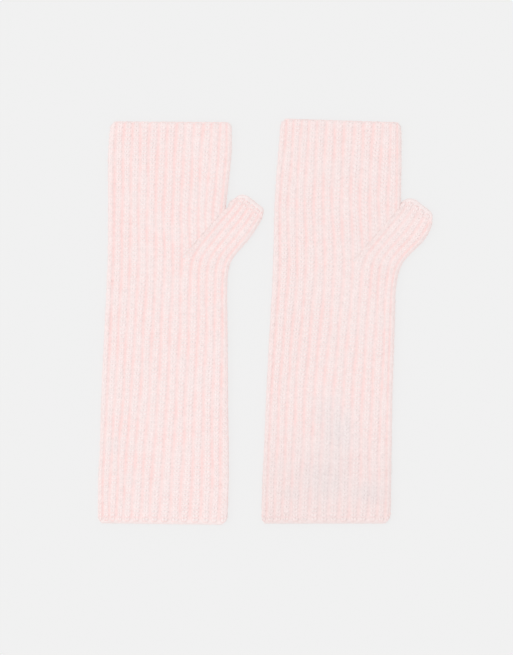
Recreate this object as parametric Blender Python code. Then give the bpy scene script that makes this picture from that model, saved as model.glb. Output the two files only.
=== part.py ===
"""A pair of long fingerless mittens in chunky rib knit, laid flat side by side.

Each mitten is a hand-and-wrist tube and a half thumb. The tube is pressed flat, so that its two panels
lie on each other, and it is open at the hem and at the fingers. The ribs of the palm run on into the
thumb, and the ribs of the hand start at the slanting seam above it.
Metres, +Z up, fingers towards +Y, the underside at z = 0.
"""
import math
from collections import namedtuple

import bmesh
import bpy
import numpy as np

MM = 0.001

# The flattened tube, seen in its cross-section
LOWER_WALL = 2.4 * MM
PANEL_GAP = 0.6 * MM
CREST_HEIGHT = 6.0 * MM
GROOVE_HEIGHT = 4.8 * MM
WELT_HEIGHT = 5.3 * MM
ROUNDED_EDGE_HEIGHT = 4.5 * MM
ROUNDED_EDGE_LIFT = 0.5 * MM
FOLD_RADIUS = CREST_HEIGHT / 2
INNER_FOLD_RADIUS = PANEL_GAP / 2
INNER_MIDDLE = LOWER_WALL + PANEL_GAP / 2
FOLD_STEPS = 6
GROOVE_FROM_EDGE = 4.2 * MM
ROOT_SHARE = 0.25

# The ribs: thirteen whole ones between the first and last groove of a face, and one round each fold
RIBS = 13
SEAM_GROOVE = 8

# One row for each point across a rib, as shares of its width and of its relief
RibPoint = namedtuple("RibPoint", "place relief")
RIB_PROFILE = (
    RibPoint(0.0, 0.0),
    RibPoint(0.22, 0.8),
    RibPoint(0.5, 1.0),
    RibPoint(0.78, 0.8),
)
LOWER_PANEL_PLACES = (13, 11, 9.5, 8, 5.5, 3, 0)
THUMB_UNDER_PLACES = (13, 11.5, 10, 8)

# Lengths along the mitten
HEM_Y = -155.55 * MM
WELT_WIDTH = 3.4 * MM
ROUNDING = 0.9 * MM
FADE = 3.0 * MM
SEAM_GAP = 0.3 * MM

# One row for each height at which a tube's outline or ribs turn, in millimetres
TubeRow = namedtuple("TubeRow", "above_hem left_edge first_groove last_groove right_edge")

LEFT_TUBE = (
    TubeRow(0.0, -129.7, -125.5, -38.1, -30.4),
    TubeRow(33.5, -129.7, -125.5, -36.2, -29.6),
    TubeRow(56.6, -128.6, -124.4, -36.6, -29.6),
    TubeRow(102.8, -127.4, -123.2, -35.8, -30.4),
    TubeRow(149.0, -125.1, -120.9, -34.8, -30.4),
    TubeRow(184.4, -123.6, -119.4, -35.0, -30.8),
    TubeRow(205.2, -122.8, -118.6, -34.0, -29.6),
    TubeRow(249.1, -122.0, -117.8, -34.4, -30.0),
    TubeRow(287.6, -122.0, -117.7, -31.5, -27.3),
    TubeRow(309.5, -120.4, -116.1, -31.7, -27.5),
)
RIGHT_TUBE = (
    TubeRow(0.0, -3.5, 0.8, 90.1, 95.9),
    TubeRow(33.5, -2.5, 1.7, 91.3, 95.9),
    TubeRow(56.6, -1.9, 2.3, 91.2, 95.9),
    TubeRow(102.8, 0.0, 4.2, 92.4, 96.6),
    TubeRow(149.0, 1.9, 6.2, 94.0, 98.2),
    TubeRow(184.4, 4.2, 8.8, 95.2, 99.4),
    TubeRow(202.4, 5.0, 9.6, 98.4, 102.8),
    TubeRow(249.1, 6.5, 10.7, 99.0, 103.4),
    TubeRow(287.6, 8.9, 13.1, 99.8, 104.0),
    TubeRow(312.0, 11.5, 15.7, 99.4, 103.6),
)

# One row for each line across a thumb, from its root to its tip, in millimetres. The inner end of the
# first rows lies on the seam to the hand, and from the crotch on it is the thumb's own edge.
ThumbRow = namedtuple("ThumbRow", "inner_x inner_above outer_x outer_above")

LEFT_THUMB = (
    ThumbRow(-66.5, 205.2, -28.9, 198.3),
    ThumbRow(-56.9, 214.4, -26.6, 205.2),
    ThumbRow(-48.5, 223.0, -19.2, 212.2),
    ThumbRow(-40.2, 231.6, -12.7, 218.3),
    ThumbRow(-31.3, 240.0, -8.6, 224.0),
    ThumbRow(-29.5, 242.4, -7.5, 225.6),
    ThumbRow(-27.2, 248.4, -4.0, 232.4),
    ThumbRow(-21.6, 256.4, -0.5, 240.8),
)
RIGHT_THUMB = (
    ThumbRow(64.3, 202.4, 103.1, 196.9),
    ThumbRow(74.5, 211.8, 107.9, 203.8),
    ThumbRow(83.6, 221.6, 115.9, 212.2),
    ThumbRow(92.0, 230.8, 121.3, 217.3),
    ThumbRow(101.9, 239.9, 125.0, 223.1),
    ThumbRow(103.8, 242.6, 125.9, 224.4),
    ThumbRow(106.2, 248.8, 128.3, 230.8),
    ThumbRow(111.2, 254.0, 130.6, 238.2),
)
CROTCH_ROW = 5

# What differs between the two mittens, in millimetres
Mitten = namedtuple(
    "Mitten",
    "name tube thumb hem_left hem_right top_left top_right left_corner right_corner thumb_corner",
)
MITTENS = (
    Mitten("left_mitten", LEFT_TUBE, LEFT_THUMB, 0.0, -0.8, 309.5, 309.3, 2.0, 4.0, 4.0),
    Mitten("right_mitten", RIGHT_TUBE, RIGHT_THUMB, 0.0, 0.0, 311.9, 309.5, 3.0, 5.0, 3.0),
)
CROTCH_ABOVE = 241.4
CROSSING_ROUNDS = 20
TOP_CORNER = 2.4

# Rows along a tube: below the thumb as heights over the hem, above it as a share of the stretch from
# the seam to the finger opening, with an offset. Each has the heights of its crests and its grooves.
TubeStation = namedtuple("TubeStation", "share offset crest groove")

LOWER_STATIONS = (
    TubeStation(0.0, 0.0, ROUNDED_EDGE_HEIGHT, ROUNDED_EDGE_HEIGHT),
    TubeStation(0.0, ROUNDING, WELT_HEIGHT, WELT_HEIGHT),
    TubeStation(0.0, WELT_WIDTH, WELT_HEIGHT, WELT_HEIGHT),
    TubeStation(0.0, WELT_WIDTH + FADE, CREST_HEIGHT, GROOVE_HEIGHT),
    TubeStation(0.12, 0.0, CREST_HEIGHT, GROOVE_HEIGHT),
    TubeStation(0.24, 0.0, CREST_HEIGHT, GROOVE_HEIGHT),
    TubeStation(0.36, 0.0, CREST_HEIGHT, GROOVE_HEIGHT),
    TubeStation(0.48, 0.0, CREST_HEIGHT, GROOVE_HEIGHT),
    TubeStation(0.60, 0.0, CREST_HEIGHT, GROOVE_HEIGHT),
    TubeStation(0.72, 0.0, CREST_HEIGHT, GROOVE_HEIGHT),
    TubeStation(0.84, 0.0, CREST_HEIGHT, GROOVE_HEIGHT),
    TubeStation(0.92, 0.0, CREST_HEIGHT, GROOVE_HEIGHT),
    TubeStation(1.0, 0.0, CREST_HEIGHT, GROOVE_HEIGHT),
)
UPPER_STATIONS = (
    TubeStation(0.0, FADE, CREST_HEIGHT, GROOVE_HEIGHT),
    TubeStation(0.2, 0.0, CREST_HEIGHT, GROOVE_HEIGHT),
    TubeStation(0.4, 0.0, CREST_HEIGHT, GROOVE_HEIGHT),
    TubeStation(0.6, 0.0, CREST_HEIGHT, GROOVE_HEIGHT),
    TubeStation(0.8, 0.0, CREST_HEIGHT, GROOVE_HEIGHT),
    TubeStation(1.0, -FADE, CREST_HEIGHT, GROOVE_HEIGHT),
    TubeStation(1.0, -ROUNDING, WELT_HEIGHT, GROOVE_HEIGHT),
    TubeStation(1.0, 0.0, ROUNDED_EDGE_HEIGHT, ROUNDED_EDGE_HEIGHT),
)

# A place round a tube or a thumb: the panel or fold, its rib place or its angle, and its relief
Place = namedtuple("Place", "part value relief", defaults=(0.0,))


def fold_angles():
    """The angles of a fold's points, from the top of the fold to its underside."""
    return [math.pi * step / FOLD_STEPS for step in range(FOLD_STEPS + 1)]


def rib_places(first, last):
    """The points across the ribs from one groove to another, each with its share of the relief."""
    points = [(rib + point.place, point.relief) for rib in range(first, last) for point in RIB_PROFILE]
    return points + [(last, 0.0)]


def tube_places():
    """Round the tube: over the upper panel, down the right fold, back under and up the left fold."""
    upper = [Place("upper", value, relief) for value, relief in rib_places(0, RIBS)]
    right = [Place("right fold", angle) for angle in fold_angles()]
    lower = [Place("lower", value) for value in LOWER_PANEL_PLACES]
    left = [Place("left fold", angle) for angle in reversed(fold_angles())]
    return upper + right + lower + left


def thumb_places():
    """Round the thumb: over it from the seam, down its outer fold and back under, then up its inner fold."""
    upper = [Place("upper", value, relief) for value, relief in rib_places(SEAM_GROOVE, RIBS)]
    outer = [Place("right fold", angle) for angle in fold_angles()]
    lower = [Place("lower", value) for value in THUMB_UNDER_PLACES]
    inner = [Place("left fold", angle) for angle in fold_angles()[1:-1]]
    from_seam_to_seam = [Place("seam edge", 0.0)] + upper + outer + lower + [Place("seam edge", math.pi)]
    return from_seam_to_seam, inner[::-1]


def corner_inset(from_end, radius):
    """How far a rounded corner draws an edge in, at some distance from the piece's end."""
    if from_end >= radius:
        return 0.0
    return radius - math.sqrt(radius ** 2 - (radius - from_end) ** 2)


def tube_edges(mitten, above_hem):
    """The left edge, first groove, last groove and right edge of a tube at a height over the hem."""
    heights = [row.above_hem * MM for row in mitten.tube]
    left, first, last, right = (
        float(np.interp(above_hem, heights, [row[column] * MM for row in mitten.tube]))
        for column in range(1, 5)
    )
    to_end = min(above_hem, mitten.top_left * MM - above_hem)
    at_hem = above_hem < mitten.top_left * MM / 2
    left_inset = corner_inset(max(to_end, 0.0), (mitten.left_corner if at_hem else TOP_CORNER) * MM)
    right_inset = corner_inset(max(to_end, 0.0), (mitten.right_corner if at_hem else TOP_CORNER) * MM)
    return left + left_inset, first + left_inset, last - right_inset, right - right_inset


def place_x(place, edges):
    """Where a place of the tube lies from left to right, on its outer and on its inner layer."""
    left, first, last, right = edges
    if place.part in ("upper", "lower"):
        x = first + (last - first) * place.value / RIBS
        return x, x
    across = math.sin(place.value)
    if place.part == "right fold":
        centre = right - FOLD_RADIUS
        return centre + FOLD_RADIUS * across, centre + INNER_FOLD_RADIUS * across
    centre = left + FOLD_RADIUS
    return centre - FOLD_RADIUS * across, centre - INNER_FOLD_RADIUS * across


def place_heights(place, crest, groove):
    """The heights of a place on its outer and on its inner layer."""
    lift = edge_lift(crest)
    if place.part == "upper":
        return groove + (crest - groove) * place.relief, LOWER_WALL + PANEL_GAP
    if place.part == "lower":
        return lift, LOWER_WALL
    if place.part == "seam edge":
        return (groove, LOWER_WALL + PANEL_GAP) if place.value == 0.0 else (lift, LOWER_WALL)
    middle = (crest + lift) / 2
    radius = (crest - lift) / 2
    inner = INNER_MIDDLE + INNER_FOLD_RADIUS * math.cos(place.value)
    return middle + radius * math.cos(place.value), inner


def edge_lift(crest):
    """How far the underside curls up where the wall ends in a rounded edge."""
    return ROUNDED_EDGE_LIFT if crest == ROUNDED_EDGE_HEIGHT else 0.0


def seam_point(mitten, share):
    """A point on the slanting seam between hand and thumb, from its lower end to the crotch."""
    apex_above = mitten.thumb[0].inner_above * MM
    apex_x, _ = place_x(Place("upper", SEAM_GROOVE), tube_edges(mitten, apex_above))
    low = np.array([apex_x, apex_above])
    right_edge = tube_edges(mitten, CROTCH_ABOVE * MM)[3]
    high = np.array([right_edge, CROTCH_ABOVE * MM])
    return low + (high - low) * share


def height_on_line(start, end, x):
    """The height of a straight line at x, kept between the line's two ends."""
    share = min(max((x - start[0]) / (end[0] - start[0]), 0.0), 1.0)
    return start[1] + (end[1] - start[1]) * share


def crossing_height(mitten, place, start, end):
    """The height over the hem at which a place's own line crosses a slanting one."""
    height = start[1]
    for _ in range(CROSSING_ROUNDS):
        outer_x, _ = place_x(place, tube_edges(mitten, height))
        height = height_on_line(start, end, outer_x)
    return height


def along_end(mitten, place, low_end, high_end):
    """The height of a hem or finger edge at a place, between its left and its right end."""
    left, _, _, right = tube_edges(mitten, CROTCH_ABOVE * MM)
    outer_x, _ = place_x(place, tube_edges(mitten, CROTCH_ABOVE * MM))
    return (low_end + (high_end - low_end) * (outer_x - left) / (right - left)) * MM


def at_thumb(places, index):
    """Whether a place of the tube borders the thumb's opening."""
    first = places.index(Place("upper", SEAM_GROOVE))
    last = places.index(Place("lower", SEAM_GROOVE))
    return first < index < last


def tube_wall(mitten):
    """The points and faces of a hand-and-wrist tube, with the slanting opening for the thumb."""
    places = tube_places()
    count = len(places)
    apex = seam_point(mitten, 0.0)
    crotch = seam_point(mitten, 1.0)
    foot = np.array([mitten.thumb[0].outer_x, mitten.thumb[0].outer_above]) * MM
    outer, inner, faces = [], [], []

    def add_point(place, above_hem, crest, groove):
        outer_x, inner_x = place_x(place, tube_edges(mitten, above_hem))
        outer_z, inner_z = place_heights(place, crest, groove)
        outer.append((outer_x, HEM_Y + above_hem, outer_z))
        inner.append((inner_x, HEM_Y + above_hem, inner_z))

    def add_row(heights, station):
        for place, height in zip(places, heights):
            add_point(place, height, station.crest, station.groove)
        return list(range(len(outer) - count, len(outer)))

    def join_rows(low, high):
        for index in range(count):
            after = (index + 1) % count
            faces.append((low[index], low[after], high[after], high[index]))

    hem = [along_end(mitten, place, mitten.hem_left, mitten.hem_right) for place in places]
    top = [along_end(mitten, place, mitten.top_left, mitten.top_right) for place in places]
    root = [crossing_height(mitten, place, apex, foot) for place in places]
    seam = [crossing_height(mitten, place, apex, crotch) for place in places]

    below = None
    for station in LOWER_STATIONS:
        heights = [low + (high - low) * station.share + station.offset for low, high in zip(hem, root)]
        row = add_row(heights, station)
        if below:
            join_rows(below, row)
        below = row

    below = list(below)
    for index, place in enumerate(places):
        if at_thumb(places, index):
            below[index] = len(outer)
            add_point(place, seam[index], GROOVE_HEIGHT, GROOVE_HEIGHT)
    for station in UPPER_STATIONS:
        heights = [low + (high - low) * station.share + station.offset for low, high in zip(seam, top)]
        row = add_row(heights, station)
        join_rows(below, row)
        below = row
    return outer, inner, faces


def thumb_lines(mitten):
    """The lines across a thumb, as inner end, outer end, crest and groove, from root to tip."""
    rows = [
        (np.array([row.inner_x, row.inner_above]) * MM, np.array([row.outer_x, row.outer_above]) * MM)
        for row in mitten.thumb
    ]
    foot = rows[0][1]
    apex = seam_point(mitten, 0.0)
    crotch = seam_point(mitten, 1.0)
    along_seam = (crotch - apex) / np.linalg.norm(crotch - apex)
    away_from_seam = np.array([along_seam[1], -along_seam[0]])
    along_root = (foot - apex) / np.linalg.norm(foot - apex)
    away_from_root = np.array([-along_root[1], along_root[0]])
    half_wedge = math.acos(float(along_seam @ along_root)) / 2
    bisector = (along_seam + along_root) / np.linalg.norm(along_seam + along_root)

    lines = [(apex + bisector * SEAM_GAP / math.sin(half_wedge), foot + away_from_root * SEAM_GAP)]
    for inner_end, outer_end in rows[1:CROTCH_ROW]:
        share = float((inner_end - apex) @ along_seam)
        lines.append((apex + along_seam * share + away_from_seam * SEAM_GAP, outer_end))
    lines += rows[CROTCH_ROW:-1]
    heights = [(CREST_HEIGHT, GROOVE_HEIGHT)] * len(lines)

    inner_tip, outer_tip = rows[-1]
    inner_way = (inner_tip - rows[-2][0]) / np.linalg.norm(inner_tip - rows[-2][0])
    outer_way = (outer_tip - rows[-2][1]) / np.linalg.norm(outer_tip - rows[-2][1])
    across = (outer_tip - inner_tip) / np.linalg.norm(outer_tip - inner_tip)
    ends = (
        (WELT_WIDTH, CREST_HEIGHT, GROOVE_HEIGHT),
        (ROUNDING, WELT_HEIGHT, WELT_HEIGHT),
        (0.0, ROUNDED_EDGE_HEIGHT, ROUNDED_EDGE_HEIGHT),
    )
    for from_tip, crest, groove in ends:
        inset = corner_inset(from_tip, mitten.thumb_corner * MM)
        lines.append(
            (
                inner_tip - inner_way * from_tip + across * inset,
                outer_tip - outer_way * from_tip - across * inset,
            )
        )
        heights.append((crest, groove))
    return lines, heights


def thumb_wall(mitten):
    """The points and faces of a thumb: open along the seam up to the crotch, a closed tube above it."""
    round_places, closing_places = thumb_places()
    places = round_places + closing_places
    count, open_count = len(places), len(round_places)
    lines, heights = thumb_lines(mitten)
    outer, inner, faces = [], [], []
    rows = []
    for number, ((inner_end, outer_end), (crest, groove)) in enumerate(zip(lines, heights)):
        width = float(np.linalg.norm(outer_end - inner_end))
        across = (outer_end - inner_end) / width
        closed = number >= CROTCH_ROW
        first = GROOVE_FROM_EDGE * min(ROOT_SHARE + (1 - ROOT_SHARE) * number / CROTCH_ROW, 1.0)
        last = width - GROOVE_FROM_EDGE
        row = []
        for place in places if closed else round_places:
            if place.part in ("upper", "lower"):
                ribs = RIBS - SEAM_GROOVE
                outer_d = first + (last - first) * (place.value - SEAM_GROOVE) / ribs
                inner_d = outer_d
            elif place.part == "seam edge":
                outer_d = inner_d = FOLD_RADIUS if closed else 0.0
            else:
                outer_d, inner_d = place_x(place, (0.0, first, last, width))
            edge_groove = crest if closed and place.part == "seam edge" else groove
            outer_z, inner_z = place_heights(place, crest, edge_groove)
            row.append(len(outer))
            x, above = inner_end + across * outer_d
            outer.append((x, HEM_Y + above, outer_z))
            x, above = inner_end + across * inner_d
            inner.append((x, HEM_Y + above, inner_z))
        rows.append(row)
    for number in range(len(rows) - 1):
        low, high = rows[number], rows[number + 1]
        for index in range(open_count - 1):
            faces.append((low[index], low[index + 1], high[index + 1], high[index]))
        if number >= CROTCH_ROW:
            for index in range(open_count - 1, count):
                after = (index + 1) % count
                faces.append((low[index], low[after], high[after], high[index]))
    return outer, inner, faces


def knit_material(name):
    """Pale pink brushed wool."""
    material = bpy.data.materials.new(name)
    material.use_nodes = True
    shader = material.node_tree.nodes["Principled BSDF"]
    shader.inputs["Base Color"].default_value = (0.93, 0.81, 0.79, 1.0)
    shader.inputs["Roughness"].default_value = 0.9
    shader.inputs["Metallic"].default_value = 0.0
    return material


def wall_object(name, wall, collection):
    """One closed wall from an outer and an inner layer of points, which share their faces."""
    outer, inner, faces = wall
    cloth = bmesh.new()
    outside = [cloth.verts.new(point) for point in outer]
    inside = [cloth.verts.new(point) for point in inner]
    edges = {(face[k - 1], face[k]) for face in faces for k in range(4)}
    for face in faces:
        cloth.faces.new([outside[k] for k in face])
        cloth.faces.new([inside[k] for k in reversed(face)])
    for start, end in sorted(edges):
        if (end, start) not in edges:
            cloth.faces.new([outside[end], outside[start], inside[start], inside[end]])
    mesh = bpy.data.meshes.new(name)
    cloth.to_mesh(mesh)
    cloth.free()
    mesh.shade_smooth()
    mesh.set_sharp_from_angle(angle=math.radians(50))
    mesh.materials.append(knit_material(name + "_knit"))
    piece = bpy.data.objects.new(name, mesh)
    collection.objects.link(piece)
    return piece


def main():
    for old in list(bpy.data.objects):
        bpy.data.objects.remove(old, do_unlink=True)
    collection = bpy.data.collections.new("pair_of_mittens")
    bpy.context.scene.collection.children.link(collection)
    for mitten in MITTENS:
        wall_object(mitten.name + "_tube", tube_wall(mitten), collection)
        wall_object(mitten.name + "_thumb", thumb_wall(mitten), collection)


main()
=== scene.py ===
"""The looks of a pair of long fingerless mittens in chunky pale pink rib knit, laid flat side by side.

Each mitten has a knitted shell on its solid's form, a stitch for every course of every rib, and a brushed
nap. Lengths are metres, fingers point towards +Y, and both mittens rest on the floor at z = 0.
"""
import math
from collections import namedtuple

import bpy
import numpy as np
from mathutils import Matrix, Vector


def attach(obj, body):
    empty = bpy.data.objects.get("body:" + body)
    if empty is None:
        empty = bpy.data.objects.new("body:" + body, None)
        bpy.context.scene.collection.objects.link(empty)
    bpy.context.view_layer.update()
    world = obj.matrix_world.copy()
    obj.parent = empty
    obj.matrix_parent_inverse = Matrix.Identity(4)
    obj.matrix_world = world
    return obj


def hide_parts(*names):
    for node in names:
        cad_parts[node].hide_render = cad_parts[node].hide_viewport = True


MM = 0.001
SEED = 7

# The photograph's frame, and the stretch of floor that it shows
IMAGE_HEIGHT = 655
MM_PER_PIXEL = 0.77
VIEW_CENTRE = Vector((-8.1 * MM, -4.25 * MM, 0.0))
CAMERA_HEIGHT = 4.0
SENSOR = 36.0
CAMERA_REACH = 20.0

# The studio: a floor that glows a little, an even sky, and a weak soft sun from the left
FLOOR_SIZE = 6.0
FLOOR_SURFACE = (
    ("Base Color", (0.12, 0.12, 0.12, 1.0)),
    ("Emission Color", (1.0, 1.0, 1.0, 1.0)),
    ("Emission Strength", 0.754),
    ("Roughness", 1.0),
    ("Specular IOR Level", 0.0),
)
SKY_COLOUR = (1.0, 1.0, 1.0, 1.0)
SKY_STRENGTH = 0.936
SUN_PLACE = (-1.3, 0.15, 1.6)
SUN_STRENGTH = 0.42
SUN_WIDTH = math.radians(40)

# The flattened tube, seen in its cross-section. The levels are those of the cloth between the ribs.
LOWER_WALL = 2.4 * MM
PANEL_GAP = 0.6 * MM
CREST_HEIGHT = 6.0 * MM
STITCH_RELIEF = 0.6 * MM
SHELL_RELIEF = 0.32 * MM
UPPER_LEVEL = CREST_HEIGHT - STITCH_RELIEF
LOWER_LEVEL = STITCH_RELIEF
FOLD_RADIUS = CREST_HEIGHT / 2
INNER_TOP = LOWER_WALL + PANEL_GAP
LIP = 0.15 * MM
WELT_RISE = 0.25 * MM
WELT_WIDTH = 2.0 * MM
WELT_FADE = 5.0 * MM
# The share of the grooves' painted shade colour that the plain welt takes, a little darker along the hem and
# finger edge
WELT_GROOVE_SHADE = 0.2
TIP_FADE = 9.0 * MM
FADE = 2.6 * MM
NOSE = 2.2 * MM
SEAM_OVERLAP = 0.4 * MM
ROOT_GAP = 0.02 * MM
SEAM_FULLNESS = 0.5

# The ribs: thirteen on each face of the tube and two round each fold
HAND_RIBS = 13
FOLD_RIBS = 2
UNDER_TURN = HAND_RIBS + FOLD_RIBS
LEFT_TURN = UNDER_TURN + HAND_RIBS
ROUND_RIBS = LEFT_TURN + FOLD_RIBS
SEAM_RIB = 8
THUMB_END_TURN = LEFT_TURN - SEAM_RIB
RIB_COLUMNS = 6
RIB_FULLNESS = 0.55
THUMB_SIDE = 4.2 * MM
THUMB_INNER_RIB = 3.9 * MM

# The thumb's inner edge: its radius beside the seam, and where on the way to the crotch it starts to grow
# round, and over how much of that way
THUMB_FLAT_RADIUS = 0.1 * MM
THUMB_ROUND_FROM = 0.9
THUMB_ROUND_OVER = 0.3

# Lengths along the mitten
HEM_Y = -155.55 * MM
CROTCH_ROW = 5
THUMB_CORNER_WAY = 16.0 * MM
SOFTENING = 8.0 * MM
SOFTENING_SHIFTS = 7
CROSSING_ROUNDS = 20
END_STEPS = (0.0, 0.15, 0.5, 1.0, 1.8, 2.6, 3.4, 4.8, 6.4)
END_ROW = len(END_STEPS) - 1
SEAM_STEPS = (0.35, 0.9, 1.6)
PLAIN_FROM = 0.04
PLAIN_TO = 0.88
ROWS_BELOW_THUMB = 64
ROWS_ABOVE_THUMB = 30
ROWS_ON_THUMB = 22
FINE_STEPS = 8
BLUR_ROUNDS = 10
ROOT_BLUR_ROWS = 9
CROTCH_BLUR_ROWS = 6

# The stitches
COURSE = 3.1 * MM
RIB_PITCH = 6.7 * MM
FIRST_COURSE = 5.0 * MM
LAST_COURSE = 2.6 * MM
SEAM_COURSE = 0.9 * MM
THUMB_LAST_COURSE = 6.2 * MM
LEG_LENGTH = 4.8 * MM
LEG_WIDTH = 3.1 * MM
LEG_THICKNESS = 0.8 * MM
LEG_OFFSET = 1.05 * MM
LEG_LEAN = math.radians(20)
LEG_RISE = -0.1 * MM
LEG_DIP = 0.35 * MM
LEAN_SPREAD = math.radians(3)
SIZE_SPREAD = 0.05
SHIFT_SPREAD = 0.08 * MM

# The nap's fibres: a share of the length and a thickness for each ring, and the faces between the rings
FIBRE_RINGS = ((0.0, 0.055 * MM), (0.55, 0.04 * MM))
FIBRE_FACES = (
    (0, 1, 2),
    (0, 3, 4, 1), (1, 4, 5, 2), (2, 5, 3, 0),
    (3, 6, 4), (4, 6, 5), (5, 6, 3),
)
FIBRE_FLOOR = 0.1 * MM
FACE_FIBRES = 5000
FOLD_FIBRES = 5000
END_FIBRES = 900
SEAM_FIBRES = 400
THUMB_FACE_FIBRES = FACE_FIBRES // 12
THUMB_FOLD_FIBRES = FOLD_FIBRES // 8
THUMB_END_FIBRES = END_FIBRES // 3

# Where the fibres stand across a rib, how long they are, and how they rise and curl
FACE_SIDES = (0.05, 0.95)
FOLD_SIDES = (0.0, 1.0)
SEAM_SIDES = (0.0, 0.3)
FACE_LENGTH = 2.2 * MM
FOLD_LENGTH = 3.0 * MM
SEAM_LENGTH = 2.6 * MM
END_LENGTH = 2.0 * MM
LOW_RISE = 0.4
STEEP_RISE = 1.6
LEAST_RISE = 0.3
LEAST_LENGTH = 0.35
CURL_ASIDE = 0.6
CURL_DOWN = 0.3

# How much the facing of a rib on a fold turns, the share of a rib over which its way across is measured,
# and the heights and rows from which the fibres of the open ends grow
FOLD_TURN = 0.1
ACROSS_STEP = 0.04
AT_HEM = HEM_Y + 10 * MM
AT_TOP = HEM_Y + 300 * MM
END_ROOT_ROWS = (1, 5)
STITCH_FLOOR = 0.02 * MM

# One row for each height at which a tube's outline or ribs turn, in millimetres
TubeRow = namedtuple("TubeRow", "above_hem left_edge first_groove last_groove right_edge")

LEFT_TUBE = (
    TubeRow(0.0, -130.3, -126.4, -37.6, -30.1),
    TubeRow(33.5, -130.4, -126.5, -35.7, -28.8),
    TubeRow(56.6, -129.0, -125.1, -36.1, -28.9),
    TubeRow(102.8, -127.7, -122.7, -35.3, -29.5),
    TubeRow(149.0, -125.5, -120.4, -34.3, -29.9),
    TubeRow(184.4, -123.7, -118.9, -34.5, -30.5),
    TubeRow(205.2, -122.8, -118.1, -33.5, -28.9),
    TubeRow(240.0, -122.7, -117.5, -35.7, -32.1),
    TubeRow(249.1, -122.7, -117.3, -34.3, -30.6),
    TubeRow(287.6, -122.8, -117.2, -31.0, -26.5),
    TubeRow(309.5, -120.6, -115.6, -31.2, -26.8),
)
RIGHT_TUBE = (
    TubeRow(0.0, -4.8, -0.6, 90.6, 95.4),
    TubeRow(33.5, -3.9, 0.3, 91.8, 96.0),
    TubeRow(56.6, -2.7, 1.2, 91.7, 96.2),
    TubeRow(102.8, -0.8, 3.4, 92.9, 97.0),
    TubeRow(149.0, 1.6, 6.7, 94.5, 98.5),
    TubeRow(184.4, 3.7, 9.3, 95.6, 99.4),
    TubeRow(202.4, 4.3, 10.1, 98.9, 102.8),
    TubeRow(249.1, 5.6, 9.7, 99.5, 103.4),
    TubeRow(287.6, 8.3, 13.6, 100.3, 103.9),
    TubeRow(312.0, 10.5, 15.2, 99.9, 103.4),
)

# The wander of the ribs: its reach to each side, its length over a turn of phase, and the phase from rib
# to rib
WANDER = (0.28 * MM, 0.14 * MM)
WANDER_LENGTHS = (11.0 * MM, 3.7 * MM)
WANDER_TURNS = (2.3, 4.1)

# How far some grooves lie to the right of an even spacing, in millimetres: measured in the photograph,
# then corrected until the render's grooves lay over them
DriftRow = namedtuple("DriftRow", "above_hem third sixth tenth twelfth")

LEFT_DRIFT = (
    DriftRow(0.0, -5.4, -5.2, -1.7, 0.5),
    DriftRow(33.0, -3.6, -4.4, -1.2, 1.0),
    DriftRow(57.0, -3.7, -2.9, 0.0, 0.3),
    DriftRow(103.0, -1.6, -1.0, -0.2, 0.3),
    DriftRow(149.0, -1.2, -0.9, 1.4, 0.9),
    DriftRow(184.0, 0.0, 0.6, 1.0, 0.9),
    DriftRow(249.0, -0.2, 0.0, 1.3, -0.1),
    DriftRow(288.0, -0.5, 0.0, 0.2, 0.8),
    DriftRow(306.0, -1.0, 0.5, 1.6, 2.0),
)
RIGHT_DRIFT = (
    DriftRow(0.0, -3.0, -2.0, 0.4, 0.3),
    DriftRow(33.0, -2.3, -1.8, 1.2, 2.0),
    DriftRow(57.0, -1.6, -0.8, 1.2, 0.9),
    DriftRow(103.0, -2.0, -1.1, 1.3, 2.4),
    DriftRow(149.0, -1.0, 1.2, 2.4, 2.6),
    DriftRow(184.0, 0.2, 2.2, 3.6, 2.7),
    DriftRow(249.0, -1.6, -1.4, -0.4, 0.2),
    DriftRow(288.0, -2.6, -2.1, 0.2, 0.9),
    DriftRow(306.0, -2.3, -2.1, 1.7, 2.2),
)
DRIFT_GROOVES = (("third", 3), ("sixth", 6), ("tenth", 10), ("twelfth", 12))

# One row for each line across a thumb, from its root to its tip, in millimetres
ThumbRow = namedtuple("ThumbRow", "inner_x inner_above outer_x outer_above")

LEFT_THUMB = (
    ThumbRow(-66.5, 205.2, -28.9, 198.3),
    ThumbRow(-56.9, 214.4, -26.1, 205.2),
    ThumbRow(-48.5, 223.0, -18.9, 212.6),
    ThumbRow(-40.2, 231.6, -13.3, 219.2),
    ThumbRow(-31.8, 240.0, -9.3, 224.8),
    ThumbRow(-29.6, 244.0, -7.6, 227.6),
    ThumbRow(-27.9, 249.4, -4.0, 233.2),
    ThumbRow(-20.7, 257.0, 0.0, 241.0),
)
RIGHT_THUMB = (
    ThumbRow(64.3, 202.4, 102.4, 196.9),
    ThumbRow(74.5, 211.8, 106.6, 203.8),
    ThumbRow(83.6, 221.6, 115.5, 212.4),
    ThumbRow(92.0, 230.8, 120.9, 217.7),
    ThumbRow(101.9, 239.9, 124.6, 223.3),
    ThumbRow(104.0, 245.4, 126.0, 225.8),
    ThumbRow(104.3, 249.0, 128.5, 231.2),
    ThumbRow(108.2, 254.6, 130.0, 237.2),
)

# What differs between the two mittens, in millimetres
Mitten = namedtuple(
    "Mitten",
    "side tube drift thumb crotch hem_left hem_right top_left top_right "
    "left_corner right_corner top_left_corner top_right_corner thumb_inner_corner thumb_outer_corner",
)
MITTENS = (
    Mitten("left", LEFT_TUBE, LEFT_DRIFT, LEFT_THUMB,
           243.4, 0.8, -0.5, 309.9, 309.3, 3.0, 4.5, 4.2, 3.2, 8.0, 5.0),
    Mitten("right", RIGHT_TUBE, RIGHT_DRIFT, RIGHT_THUMB,
           244.9, 0.5, 0.5, 312.1, 309.2, 3.0, 5.5, 4.2, 3.6, 9.0, 5.5),
)

# The faded spots: their middle and their reach to each side, in millimetres, and how strong they are
FadedSpot = namedtuple("FadedSpot", "x y reach_x reach_y strength")

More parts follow.
